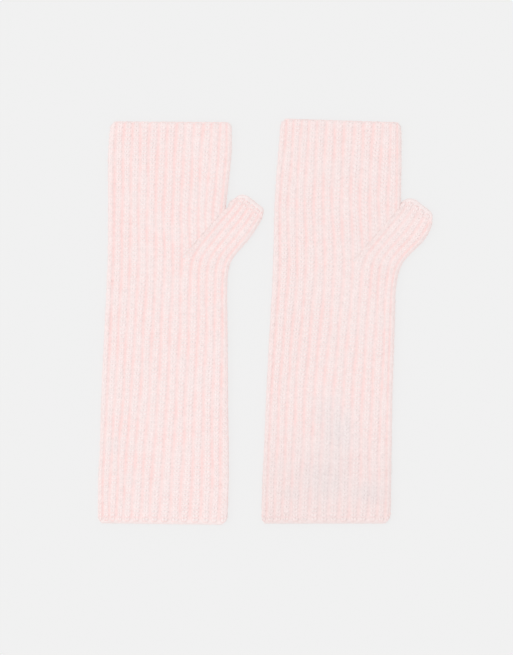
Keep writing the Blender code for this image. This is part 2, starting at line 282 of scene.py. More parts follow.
FADED_SPOTS = (
    FadedSpot(48.5, -71.0, 15.0, 13.0, 0.6),
    FadedSpot(54.0, -84.0, 14.0, 18.0, 0.9),
    FadedSpot(52.7, -98.9, 14.0, 40.0, 0.5),
    FadedSpot(45.8, -120.5, 18.0, 19.0, 0.7),
    FadedSpot(77.4, -132.0, 12.0, 8.0, 0.8),
    FadedSpot(19.6, -132.8, 9.0, 5.0, 0.6),
    FadedSpot(-116.5, -96.0, 7.0, 7.0, 0.5),
)
SPOT_HEIGHT = 6.0 * MM
SPOT_DEPTH = 4.0 * MM

# What each wool is called, its colour on the crests, its darker, pinker colour in the grooves, which is
# painted shade, and the strength of its fibres' bump
Wool = namedtuple("Wool", "name crest groove bump")

WOOLS = {
    "cloth": Wool("rib_cloth", (0.93, 0.828, 0.816), (0.97, 0.715, 0.695), 0.3),
    "yarn": Wool("rib_yarn", (0.935, 0.838, 0.826), (0.97, 0.715, 0.695), 0.3),
    "nap": Wool("brushed_nap", (0.97, 0.87, 0.85), (0.97, 0.84, 0.82), 0.0),
}
WOOL_SURFACE = (
    ("Roughness", 0.95),
    ("Specular IOR Level", 0.15),
    ("Sheen Weight", 0.35),
    ("Sheen Roughness", 0.5),
    ("Sheen Tint", (1.0, 0.92, 0.91, 1.0)),
)
BUMP_DISTANCE = 0.12 * MM
FADED_TINT = (0.94, 0.965, 0.972)
FLECK_TINT = (0.92, 0.91, 0.93)
DULL_TINT = (0.965, 0.948, 0.946)

# The noises in the colour, each with its scale and detail
CLOUD_NOISE = (420.0, 3.0)
STRETCH_NOISE = (75.0, 1.0)
FLECK_NOISE = (850.0, 1.0)
FIBRE_NOISE = (1500.0, 2.0)

# The ranges of the colour's values: from which to which, and what those two become where it isn't 0 and 1
GROOVE_SHADE_RANGE = (0.0, 0.75)
CLOUD_RANGE = (0.3, 0.7, 0.96, 1.03)
STRETCH_RANGE = (0.36, 0.62, 0.6)
FLECK_RANGE = (0.62, 0.7)
FADED_RANGE = (0.0, 1.0, 1.0, 0.25)
DULL_RANGE = (0.0, 1.0, 1.0, 0.65)
HEM_RANGE = (-0.065, -0.125, 0.3)
RIGHT_RANGE = (-0.02, -0.01)
SPOT_RANGE = (1.6, 0.0)

# A grid of points over a knitted wall: rows run up the piece and columns round it. The relief is the share
# of a rib's height, and the depth is 1 in a groove and 0 on a crest; it sets how much painted groove shade
# the colour takes there.
Wall = namedtuple("Wall", "base facing relief depth inner")

# A rib's strip of its wall, from one groove to the next, with the way along its middle, and the places of
# its stitches on that way
Rib = namedtuple("Rib", "base facing way stitches")


def smooth_step(share):
    """A soft rise from 0 to 1."""
    share = np.clip(share, 0.0, 1.0)
    return share * share * (3 - 2 * share)


def soft_column(rows, column, above):
    """A column of a table in metres at heights over the hem, rounded off where its straight runs meet."""
    heights = [row.above_hem * MM for row in rows]
    values = [getattr(row, column) * MM for row in rows]
    shifts = np.linspace(-SOFTENING, SOFTENING, SOFTENING_SHIFTS)
    return sum(np.interp(above + shift, heights, values) for shift in shifts) / len(shifts)


def corner_cut(from_side, radius):
    """How much a rounded corner takes off the end of a piece, at some distance from its side."""
    short = radius - np.clip(from_side - STITCH_RELIEF, 0.0, radius)
    return radius - np.sqrt(radius ** 2 - short ** 2)


def tube_edges(mitten, above):
    """The left edge, first groove, last groove and right edge of a tube at heights over the hem."""
    return [soft_column(mitten.tube, column, above) for column in TubeRow._fields[1:]]


def groove_drift(mitten, above, place):
    """How far a place between the first and last groove lies from an even spacing."""
    marks = [0] + [groove for _, groove in DRIFT_GROOVES] + [HAND_RIBS]
    drift = 0.0
    for number, (column, _) in enumerate(DRIFT_GROOVES, start=1):
        share = np.interp(place, marks, [float(mark == number) for mark in range(len(marks))])
        drift = drift + share * soft_column(mitten.drift, column, above)
    return drift


def groove_wander(above, place):
    """The small sideways wander of the ribs, different from one rib to the next and none at the folds."""
    window = np.clip(np.minimum(place, HAND_RIBS - place), 0.0, 1.0)
    slow = np.sin(above / WANDER_LENGTHS[0] + WANDER_TURNS[0] * place)
    quick = np.sin(above / WANDER_LENGTHS[1] + WANDER_TURNS[1] * place)
    return window * (WANDER[0] * slow + WANDER[1] * quick)


def round_fold(share, flat, top, bottom):
    """A fold from its upper groove to its lower one: reach, height, and how far it faces out and up."""
    radius = (top - bottom) / 2
    way = share * (2 * flat + math.pi * radius) - flat
    angle = np.clip(way / radius, 0.0, math.pi)
    on_flats = np.minimum(way, 0.0) + np.minimum(math.pi * radius - way, 0.0)
    reach = flat + on_flats + radius * np.sin(angle)
    return reach, (top + bottom) / 2 + radius * np.cos(angle), np.sin(angle), np.cos(angle)


def tube_section(mitten, above, turns, top, bottom):
    """Points and facings round the tube, with a column for each turn and a row for each height."""
    left, first, last, right = tube_edges(mitten, above)
    is_upper = turns <= HAND_RIBS
    place = np.clip(np.where(is_upper, turns, LEFT_TURN - turns), 0, HAND_RIBS)
    x = first + (last - first) * place / HAND_RIBS + groove_drift(mitten, above, place)
    x = x + groove_wander(above + mitten.tube[0].left_edge * MM, place)
    z = np.where(is_upper, top, bottom)
    faces_x = np.zeros_like(x)
    faces_z = np.where(is_upper, 1.0, -1.0) + faces_x
    folds = (
        ((turns - HAND_RIBS) / FOLD_RIBS, last, right, 1.0),
        ((ROUND_RIBS - turns) / FOLD_RIBS, first, left, -1.0),
    )
    for share, groove, edge, side in folds:
        on_fold = (share > 0) & (share < 1)
        flat = (edge - groove) * side - FOLD_RADIUS
        reach, height, out, up = round_fold(np.clip(share, 0.0, 1.0), flat, top, bottom)
        x = np.where(on_fold, groove + side * reach, x)
        z = np.where(on_fold, height, z)
        faces_x = np.where(on_fold, side * out, faces_x)
        faces_z = np.where(on_fold, up, faces_z)
    points = np.stack((x, HEM_Y + above, z + 0 * x), axis=-1)
    facing = np.stack((faces_x, np.zeros_like(x), faces_z), axis=-1)
    return points, facing


def rib_relief(turns):
    """The height of the cloth across its ribs, from 0 in a groove to 1 on a crest."""
    return np.abs(np.sin(math.pi * np.asarray(turns))) ** RIB_FULLNESS


def nose_share(from_end):
    """The share of its thickness that a wall has near its rounded end."""
    short = 1 - np.clip(from_end / NOSE, 0.0, 1.0)
    return np.sqrt(1 - short ** 2)


def levels(share, rise=0.0):
    """The upper and lower level of the cloth between the ribs, where a wall thins out to its end."""
    top = INNER_TOP + LIP + (UPPER_LEVEL + rise - INNER_TOP - LIP) * share
    bottom = LOWER_WALL - LIP - (LOWER_WALL - LIP - LOWER_LEVEL) * share
    return top, bottom


def tube_wall(mitten, above, turns, share, rise, fade):
    """A stretch of a tube's wall: its outer layer, its relief and its plain inner layer."""
    top, bottom = levels(share, rise)
    base, facing = tube_section(mitten, above, turns, top, bottom)
    inner, _ = tube_section(mitten, above, turns, INNER_TOP + 0 * top, LOWER_WALL + 0 * bottom)
    profile = rib_relief(turns) + 0 * above
    # Where the relief fades out at the welt, the wall keeps a share of the painted groove shade.
    return Wall(base, facing, profile * fade, (1 - profile) * fade + WELT_GROOVE_SHADE * (1 - fade), inner)


def seam_ends(mitten):
    """The lower end of the slanting seam, the crotch at its upper end, and the outer end of the root."""
    apex_above = mitten.thumb[0].inner_above * MM
    first_level, under_level = levels(1.0)
    point, _ = tube_section(
        mitten, np.array([[apex_above]]), np.array([float(SEAM_RIB)]), first_level, under_level
    )
    crotch_above = mitten.crotch * MM
    right = tube_edges(mitten, crotch_above)[3]
    foot = mitten.thumb[0]
    return (
        np.array([point[0, 0, 0], apex_above]),
        np.array([right, crotch_above]),
        np.array([foot.outer_x * MM, foot.outer_above * MM]),
    )


def crossing_heights(mitten, turns, start, end):
    """The heights over the hem at which the columns of a tube cross a slanting line."""
    top, bottom = levels(1.0)
    above = np.full((1, len(turns)), start[1])
    for _ in range(CROSSING_ROUNDS):
        points, _ = tube_section(mitten, above, turns, top, bottom)
        above = np.interp(points[..., 0], (start[0], end[0]), (start[1], end[1]))
    return above


def end_heights(mitten, turns, left_end, right_end, left_corner, right_corner):
    """The heights of a hem or finger edge at each column, without what its rounded corners take off, and
    what they take."""
    middle = np.full((1, len(turns)), left_end * MM)
    left, _, _, right = tube_edges(mitten, left_end * MM)
    top, bottom = levels(1.0)
    x = tube_section(mitten, middle, turns, top, bottom)[0][..., 0]
    cut = corner_cut(x - left, left_corner * MM) + corner_cut(right - x, right_corner * MM)
    return (left_end + (right_end - left_end) * (x - left) / (right - left)) * MM, cut


def lower_tube(mitten, turns):
    """The tube from its hem to the line where the thumb's root starts."""
    apex, _, foot = seam_ends(mitten)
    hem, cut = end_heights(
        mitten, turns, mitten.hem_left, mitten.hem_right, mitten.left_corner, mitten.right_corner
    )
    hem = hem + cut
    root = crossing_heights(mitten, turns, apex, foot)
    steps = np.array(END_STEPS) * MM
    shares = np.linspace(0.0, 1.0, ROWS_BELOW_THUMB + 1)
    shares = shares[shares * apex[1] > steps[-1] + MM]
    from_hem = np.concatenate((steps[:, None] + 0 * hem, shares[:, None] * (root - hem)))
    fade = smooth_step((from_hem - WELT_WIDTH) / WELT_FADE)
    return tube_wall(mitten, hem + from_hem, turns, nose_share(from_hem), WELT_RISE * (1 - fade), fade)


def upper_tube(mitten, turns):
    """The tube from the slanting seam, or from the same height beside it, to its finger edge."""
    apex, crotch, _ = seam_ends(mitten)
    seam = crossing_heights(mitten, turns, apex, crotch)
    finger_edge, cut = end_heights(
        mitten, turns, mitten.top_left, mitten.top_right, mitten.top_left_corner, mitten.top_right_corner
    )
    finger_edge = finger_edge - cut
    shares = np.linspace(0.0, 1.0, ROWS_ABOVE_THUMB + 1)
    first = [seam, *(seam + step * MM for step in SEAM_STEPS)]
    middle = [seam + (finger_edge - seam) * share for share in shares if PLAIN_FROM < share < PLAIN_TO]
    last = [finger_edge - step * MM for step in reversed(END_STEPS)]
    above = np.concatenate(first + middle + last)
    from_top = finger_edge - above
    return tube_wall(mitten, above, turns, nose_share(from_top), 0.0, smooth_step(from_top / FADE))


def curve_through(values, places):
    """A smooth curve through a list of values, read at places counted in the list's own steps."""
    values = np.asarray(values, float)
    padded = np.concatenate((2 * values[:1] - values[1:2], values, 2 * values[-1:] - values[-2:-1]))
    index = np.clip(places.astype(int), 0, len(values) - 2)
    share = (places - index)[:, None]
    before, start, end, after = (padded[index + step] for step in range(4))
    bend = 2 * before - 5 * start + 4 * end - after
    twist = 3 * (start - end) + after - before
    return 0.5 * (2 * start + share * ((end - before) + share * (bend + share * twist)))


def thumb_lines(mitten):
    """The inner and outer end of each line across a thumb, and how far each lies from the tip."""
    table = np.array(mitten.thumb) * MM
    apex, crotch, foot = seam_ends(mitten)
    along_seam = (crotch - apex) / np.linalg.norm(crotch - apex)
    away = np.array([along_seam[1], -along_seam[0]])
    table[0] = (*(apex + along_seam * ROOT_GAP - away * SEAM_OVERLAP), *(foot + (0.0, ROOT_GAP)))
    for row in range(1, CROTCH_ROW):
        share = (table[row, :2] - apex) @ along_seam
        table[row, :2] = apex + along_seam * share - away * SEAM_OVERLAP
    fine = curve_through(table, np.linspace(0.0, len(table) - 1.0, FINE_STEPS * len(table)))
    middle = (fine[:, :2] + fine[:, 2:]) / 2
    way = np.concatenate(([0.0], np.cumsum(np.linalg.norm(np.diff(middle, axis=0), axis=1))))
    steps = np.array(END_STEPS) * MM
    main = np.linspace(0.0, way[-1], ROWS_ON_THUMB)
    main = main[main < way[-1] - steps[-1] - MM]
    wanted = np.concatenate((main, way[-1] - steps[::-1]))
    ends = np.stack([np.interp(wanted, way, fine[:, column]) for column in range(4)], axis=1)
    crotch_way = np.interp(CROTCH_ROW / (len(table) - 1), np.linspace(0, 1, len(fine)), way)
    return ends[:, :2], ends[:, 2:], way[-1] - wanted, wanted / crotch_way


def thumb_wall(mitten, turns):
    """A thumb's wall from its root to its tip, and which of its rows are closed to a ring."""
    inner_end, outer_end, from_tip, to_crotch = thumb_lines(mitten)
    across = outer_end - inner_end
    width = np.linalg.norm(across, axis=1)[:, None]
    across = across / width
    along = np.stack((-across[:, 1], across[:, 0]), axis=1)
    fade = smooth_step((from_tip - WELT_WIDTH / 2) / TIP_FADE)[:, None]
    top, bottom = levels(nose_share(from_tip)[:, None])

    is_upper = turns <= HAND_RIBS
    place = np.clip(np.where(is_upper, turns, LEFT_TURN - turns), SEAM_RIB, HAND_RIBS)
    last = width - THUMB_SIDE
    root_rib = (width - THUMB_SIDE) / (HAND_RIBS - SEAM_RIB)
    narrowing = smooth_step(to_crotch)[:, None]
    first = root_rib + (THUMB_INNER_RIB - root_rib) * narrowing
    roundness = smooth_step((to_crotch - THUMB_ROUND_FROM) / THUMB_ROUND_OVER)[:, None]
    full = np.where(is_upper, top - INNER_TOP, INNER_TOP - bottom)
    radius = THUMB_FLAT_RADIUS + (full - THUMB_FLAT_RADIUS) * roundness
    radius = np.minimum(radius, full)
    edge = (FOLD_RADIUS - (UPPER_LEVEL - INNER_TOP)) * roundness
    centre = edge + radius
    way = (place - SEAM_RIB) * (radius * math.pi / 2 + first - centre)
    angle = np.clip(math.pi / 2 - way / radius, 0.0, math.pi / 2)
    on_flat = np.maximum(way - radius * math.pi / 2, 0.0)
    by_edge = place < SEAM_RIB + 1
    reach = first + (last - first) * (place - SEAM_RIB - 1) / (HAND_RIBS - SEAM_RIB - 1)
    reach = np.where(by_edge, centre - radius * np.sin(angle) + on_flat, reach)
    out = np.where(by_edge, -np.sin(angle), 0.0)
    up = np.where(by_edge, np.cos(angle), 1.0) * np.where(is_upper, 1.0, -1.0)
    height = np.where(is_upper, top - radius, bottom + radius) + radius * up
    height = np.where(by_edge, height, np.where(is_upper, top, bottom))
    height = np.where(is_upper, np.maximum(height, INNER_TOP + LIP), np.minimum(height, LOWER_WALL - LIP))
    inner_height = np.where(is_upper, INNER_TOP, LOWER_WALL) + 0 * reach

    share = np.clip((turns - HAND_RIBS) / FOLD_RIBS, 0.0, 1.0)
    on_fold = (share > 0) & (share < 1)
    fold = round_fold(share, THUMB_SIDE - FOLD_RADIUS, top, bottom)
    inner_fold = round_fold(share, THUMB_SIDE - FOLD_RADIUS, INNER_TOP, LOWER_WALL)
    inner_reach = np.where(on_fold, last + inner_fold[0], np.maximum(reach, 2 * edge))
    inner_height = np.where(on_fold, inner_fold[1], inner_height)
    reach = np.where(on_fold, last + fold[0], reach)
    height = np.where(on_fold, fold[1], height)
    out = np.where(on_fold, fold[2], out)
    up = np.where(on_fold, fold[3], up)

    cut = corner_cut(reach, mitten.thumb_inner_corner * MM)
    cut = cut + corner_cut(width - reach, mitten.thumb_outer_corner * MM)
    cut = cut * np.clip(1 - from_tip / THUMB_CORNER_WAY, 0.0, 1.0)[:, None]

    def placed(distance, z):
        ground = inner_end[:, None, :] + across[:, None, :] * distance[..., None]
        ground = ground - along[:, None, :] * cut[..., None]
        return np.concatenate((ground + (0.0, HEM_Y), (z + 0 * distance)[..., None]), axis=-1)

    facing = np.concatenate((across[:, None, :] * out[..., None], up[..., None]), axis=-1)
    at_seam = (place < SEAM_RIB + 0.5) * (1 - roundness)
    profile = np.maximum(rib_relief(turns), at_seam * SEAM_FULLNESS)
    # Along the seam the strip takes the paler crest colour with no groove shade: painted light that lifts
    # the shadow line of the seam.
    depth = (1 - np.maximum(profile, at_seam)) * fade
    inner = placed(inner_reach, inner_height)
    return Wall(placed(reach, height), facing, profile * fade, depth, inner), to_crotch >= 1.0


def soften_rows(points, middle, reach, strength):
    """Draws the rows of a grid round a middle one towards the mean of their neighbours, in plan."""
    start, end = middle - reach, middle + reach
    for _ in range(BLUR_ROUNDS):
        mean = (points[start - 1:end - 1, :, :2] + points[start + 1:end + 1, :, :2]) / 2
        points[start:end, :, :2] += (mean - points[start:end, :, :2]) * strength / 2


def soften_bends(lower, thumb, crotch_row):
    """Rounds off the bends of the ribs at the thumb's root line, on both sides of it, and at the crotch."""
    columns = thumb.base.shape[1]
    from_seam = np.minimum(np.arange(columns), np.arange(columns)[::-1]) / RIB_COLUMNS
    by_root = np.clip(from_seam, 0.0, 1.0)[:, None]
    from_edge = np.minimum(from_seam, from_seam.max() - from_seam)
    by_crotch = np.clip(from_edge - 0.5, 0.0, 1.0)[:, None]
    for below, above in ((lower.base, thumb.base), (lower.inner, thumb.inner)):
        soften_rows(above, crotch_row, CROTCH_BLUR_ROWS, by_crotch)
        joined = np.concatenate((below, above[1:]))
        soften_rows(joined, len(below), ROOT_BLUR_ROWS, by_root)
        below[:, :, :2] = joined[:len(below), :, :2]
        above[1:, :, :2] = joined[len(below):, :, :2]
        step = above[1, :, :2] - below[-1, :, :2]
        above[0, :, :2] = below[-1, :, :2] + step * ROOT_GAP / np.linalg.norm(step, axis=1)[:, None]


def grid_faces(ids):
    """Four-sided faces between the rows and columns of a grid of point numbers."""
    low, high = ids[:-1], ids[1:]
    return np.stack((low[:, :-1], low[:, 1:], high[:, 1:], high[:, :-1]), axis=-1).reshape(-1, 4)


def close_ring(ids):
    """A grid of point numbers whose last column meets its first."""
    return np.concatenate((ids, ids[:, :1]), axis=1)


def in_place(name, mesh, material):
    """An object of this knit that shows a mesh, in place at the origin."""
    mesh.materials.append(material)
    piece = bpy.data.objects.new(name, mesh)
    bpy.context.scene.collection.objects.link(piece)
    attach(piece, "root")
    return piece


def store_groove_shade(piece, depth):
    """Keeps how deep each point lies between the ribs, which is how much painted groove shade the material
    gives it.
    """
    attribute = piece.data.attributes.new("painted_groove_shade", "FLOAT", "POINT")
    attribute.data.foreach_set("value", depth.astype(np.float32).ravel())


def sharpen(piece, starts, ends):
    """Marks edges as sharp, so that a rim's shading doesn't reach into the faces beside it."""
    edges = np.empty(2 * len(piece.data.edges), np.int32)
    piece.data.edges.foreach_get("vertices", edges)
    edges = np.sort(edges.reshape(-1, 2), axis=1)
    wanted = np.sort(np.stack((starts, ends), axis=1), axis=1)
    size = len(piece.data.vertices)
    is_rim = np.isin(edges[:, 0].astype(np.int64) * size + edges[:, 1], wanted[:, 0] * size + wanted[:, 1])
    attribute = piece.data.attributes.new("sharp_edge", "BOOLEAN", "EDGE")
    attribute.data.foreach_set("value", is_rim)


def closed_shell(name, walls, faces, material):
    """One closed wall: an outer layer with its relief, a plain inner one, and rims where the faces end."""
    raised = [wall.base + wall.facing * wall.relief[..., None] * SHELL_RELIEF for wall in walls]
    outer = np.concatenate([layer.reshape(-1, 3) for layer in raised])
    inner = np.concatenate([wall.inner.reshape(-1, 3) for wall in walls])
    depth = np.concatenate([wall.depth.ravel() for wall in walls])
    count = len(outer)
    starts = faces.ravel()
    ends = np.roll(faces, -1, axis=1).ravel()
    forward = starts.astype(np.int64) * count + ends
    backward = ends.astype(np.int64) * count + starts
    open_edge = ~np.isin(forward, backward)
    start, end = starts[open_edge], ends[open_edge]
    rims = np.stack((end, start, start + count, end + count), axis=1)
    every = np.concatenate((faces, faces[:, ::-1] + count, rims))
    used = np.unique(every)
    number = np.zeros(2 * count, int)
    number[used] = np.arange(len(used))
    points = np.concatenate((outer, inner))[used]
    mesh = bpy.data.meshes.new(name)
    mesh.from_pydata(points.tolist(), [], number[every].tolist())
    mesh.update()
    mesh.shade_smooth()
    piece = in_place(name, mesh, material)
    store_groove_shade(piece, np.concatenate((depth, np.zeros(count)))[used])
    sharpen(piece, np.concatenate((number[start], number[start + count])),
            np.concatenate((number[end], number[end + count])))
    return piece


def rib_strip(walls, columns, from_start, from_end):
    """A rib over one or two walls, with a whole number of stitches about a course apart."""
    base, facing = [], []
    for wall, column in zip(walls, columns):
        strip = (column + np.arange(RIB_COLUMNS + 1)) % wall.base.shape[1]
        base.append(wall.base[:, strip])
        facing.append(wall.facing[:, strip])
    base, facing = np.concatenate(base), np.concatenate(facing)
    steps = np.linalg.norm(np.diff(base[:, RIB_COLUMNS // 2], axis=0), axis=1)
    way = np.concatenate(([0.0], np.cumsum(steps)))
    tally = round((way[-1] - from_start - from_end) / COURSE)
    return Rib(base, facing, way, np.linspace(from_start, way[-1] - from_end, tally + 1))


def on_rib(rib, across, along, lift):
    """Points at a share across a rib, a way along it, and a height over its wall."""
    row = np.interp(along, rib.way, np.arange(len(rib.way)))
    column = np.clip(across, 0.0, 1.0) * RIB_COLUMNS
    low_row = np.minimum(row.astype(int), len(rib.way) - 2)
    low_column = np.minimum(column.astype(int), RIB_COLUMNS - 1)
    row_share = (row - low_row)[..., None]
    column_share = (column - low_column)[..., None]

    def between_rows(values, side):
        return values[low_row, side] * (1 - row_share) + values[low_row + 1, side] * row_share

    def read(values):
        low, high = between_rows(values, low_column), between_rows(values, low_column + 1)
        return low * (1 - column_share) + high * column_share

    return read(rib.base) + read(rib.facing) * lift[..., None]


def unit(vectors):
    """Vectors of length 1."""
    return vectors / np.linalg.norm(vectors, axis=-1)[..., None]


def yarn_leg():
    """The points and faces of one leg of a stitch, a plump length of yarn that lies along Y."""
    bpy.ops.mesh.primitive_uv_sphere_add(segments=6, ring_count=4, radius=1.0)
    leg = bpy.context.object
    bpy.ops.object.mode_set(mode="EDIT")
    bpy.ops.mesh.select_all(action="SELECT")
    bpy.ops.transform.rotate(value=math.pi / 2, orient_axis="X", center_override=(0.0, 0.0, 0.0))
    bpy.ops.transform.resize(value=(LEG_WIDTH / 2, LEG_LENGTH / 2, LEG_THICKNESS / 2),
                             center_override=(0.0, 0.0, 0.0))
    bpy.ops.mesh.normals_make_consistent(inside=False)
    bpy.ops.object.mode_set(mode="OBJECT")
    points = np.array([vertex.co for vertex in leg.data.vertices])
    faces = [list(polygon.vertices) for polygon in leg.data.polygons]
    bpy.data.objects.remove(leg)
    return points, faces


def repeated_mesh(name, points, faces, smooth, material):
    """Many copies of a small closed form as one piece. points has a row for each copy."""
    count, size, _ = points.shape
    corners = np.array([corner for face in faces for corner in face])
    totals = np.tile([len(face) for face in faces], count)
    mesh = bpy.data.meshes.new(name)
    mesh.vertices.add(count * size)
    mesh.loops.add(count * len(corners))
    mesh.polygons.add(len(totals))
    mesh.vertices.foreach_set("co", points.astype(np.float32).ravel())
    indices = corners[None, :] + size * np.arange(count)[:, None]
    mesh.loops.foreach_set("vertex_index", indices.astype(np.int32).ravel())
    mesh.polygons.foreach_set("loop_start", (np.cumsum(totals) - totals).astype(np.int32))
    mesh.update(calc_edges=True)
    if smooth:
        mesh.shade_smooth()
    else:
        mesh.shade_flat()
    return in_place(name, mesh, material)


def lay_stitches(name, ribs, leg, material, rng):
    """A stitch of two leaning yarn legs at each place of each rib, joined as one piece."""
    points, faces = leg
    placed, heights = [], []
    for rib in ribs:
        count = len(rib.stitches)
        for side in (-1.0, 1.0):
            lean = LEG_LEAN + rng.normal(0.0, LEAN_SPREAD, count)
            size = 1 + rng.normal(0.0, SIZE_SPREAD, count)
            shift = rng.normal(0.0, SHIFT_SPREAD, (count, 2))
            x, y, z = (points[None, :, axis] * size[:, None] for axis in range(3))
            cosine, sine = np.cos(lean)[:, None], np.sin(lean)[:, None]
            sideways = side * LEG_OFFSET + x * cosine + side * y * sine + shift[:, 0:1]
            lengthways = y * cosine - side * x * sine + shift[:, 1:2]
            across = 0.5 + sideways / RIB_PITCH
            lift = SHELL_RELIEF * rib_relief(across) + LEG_RISE + z - LEG_DIP * (2 * y / LEG_LENGTH) ** 2
            lift = np.minimum(lift, STITCH_RELIEF)
            placed.append(on_rib(rib, across, rib.stitches[:, None] + lengthways, lift))
            heights.append(lift)
    placed = np.concatenate(placed)
    placed[..., 2] = np.maximum(placed[..., 2], STITCH_FLOOR)
    piece = repeated_mesh(name, placed, faces, True, material)
    # The lower a point of a leg lies, the more painted groove shade it takes.
    store_groove_shade(piece, 1 - np.concatenate(heights) / STITCH_RELIEF)
    return piece


def fibre_roots(ribs, tally, sides, rng):
    """Roots scattered over some ribs, with the way along, across and out of the cloth at each."""
    roots, alongs, acrosses = [], [], []
    starts = [rib.stitches[0] - COURSE / 2 for rib in ribs]
    ends = [min(rib.stitches[-1] + COURSE / 2, rib.way[-1]) for rib in ribs]
    shares = np.subtract(ends, starts)
    for rib, start, end, count in zip(ribs, starts, ends, rng.multinomial(tally, shares / shares.sum())):
        side = rng.uniform(*sides, count)
        place = rng.uniform(max(start, 0.0), end, count)
        lift = SHELL_RELIEF * rib_relief(side)
        roots.append(on_rib(rib, side, place, lift))
        alongs.append(on_rib(rib, side, place + MM, lift) - on_rib(rib, side, place - MM, lift))
        higher, lower = side + ACROSS_STEP, side - ACROSS_STEP
        acrosses.append(on_rib(rib, higher, place, lift) - on_rib(rib, lower, place, lift))
    root, along, across = (np.concatenate(values) for values in (roots, alongs, acrosses))
    along, across = unit(along), unit(across)
    return root, along, across, unit(np.cross(across, along))


def end_roots(ribs, tally, at_start, rng):
    """Roots along the open ends of some ribs, where the way out of the cloth is the rib's own way."""
    chosen = rng.integers(0, len(ribs), tally)
    roots, alongs, acrosses, uprights = [], [], [], []
    for number, rib in enumerate(ribs):
        count = int(np.sum(chosen == number))
        side = rng.uniform(0.0, 1.0, count)
        row = rng.integers(*END_ROOT_ROWS, count)
        row = row if at_start else len(rib.way) - 1 - row
        column = side * RIB_COLUMNS
        low = np.minimum(column.astype(int), RIB_COLUMNS - 1)
        share = (column - low)[:, None]
        root = rib.base[row, low] * (1 - share) + rib.base[row, low + 1] * share
        far, near = (END_ROW + 1, 0) if at_start else (-END_ROW - 2, -1)
        roots.append(root)
        alongs.append(-unit(rib.base[far, low] - rib.base[near, low]))
        acrosses.append(unit(rib.base[row, low + 1] - rib.base[row, low]))
        uprights.append(rib.facing[row, low])
    root, outward, across, facing = (
        np.concatenate(values) for values in (roots, alongs, acrosses, uprights)
    )
    return root, facing, across, outward


def lay_nap(name, groups, material, rng):
    """Fine tapering fibres that stand out of the cloth and curl over. Each group has its roots, its length
    and how steeply its fibres stand."""
    pieces = []
    for (root, along, across, upright), length, rise in groups:
        tally = len(root)
        turn = rng.uniform(0.0, 2 * math.pi, tally)[:, None]
        flat = across * np.cos(turn) + along * np.sin(turn)
        steep = rise * rng.uniform(LEAST_RISE, 1.0, tally)[:, None]
        way = unit(flat + upright * steep)
        aside = unit(flat * rng.uniform(-1.0, 1.0, (tally, 1)) + np.cross(way, upright))
        curl = aside * CURL_ASIDE - upright * CURL_DOWN
        reach = (length * rng.uniform(LEAST_LENGTH, 1.0, tally))[:, None]
        wide = unit(np.cross(way, upright))
        high = np.cross(wide, way)
        rings = []
        for share, thickness in FIBRE_RINGS:
            middle = root + way * reach * share + curl * reach * share ** 2
            for corner in range(3):
                angle = 2 * math.pi * corner / 3
                rings.append(middle + (wide * math.cos(angle) + high * math.sin(angle)) * thickness)
        rings.append(root + way * reach + curl * reach)
        pieces.append(np.stack(rings, axis=1))
    points = np.concatenate(pieces)
    points[..., 2] = np.maximum(points[..., 2], FIBRE_FLOOR)
    piece = repeated_mesh(name, points, FIBRE_FACES, False, material)
    store_groove_shade(piece, np.zeros(points.shape[:2]))
    return piece


def round_ribs(ribs, row, axis):
    """The ribs whose facing turns across them, as it does round a fold."""
    return [rib for rib in ribs if np.ptp(rib.facing[row, :, axis]) > FOLD_TURN]


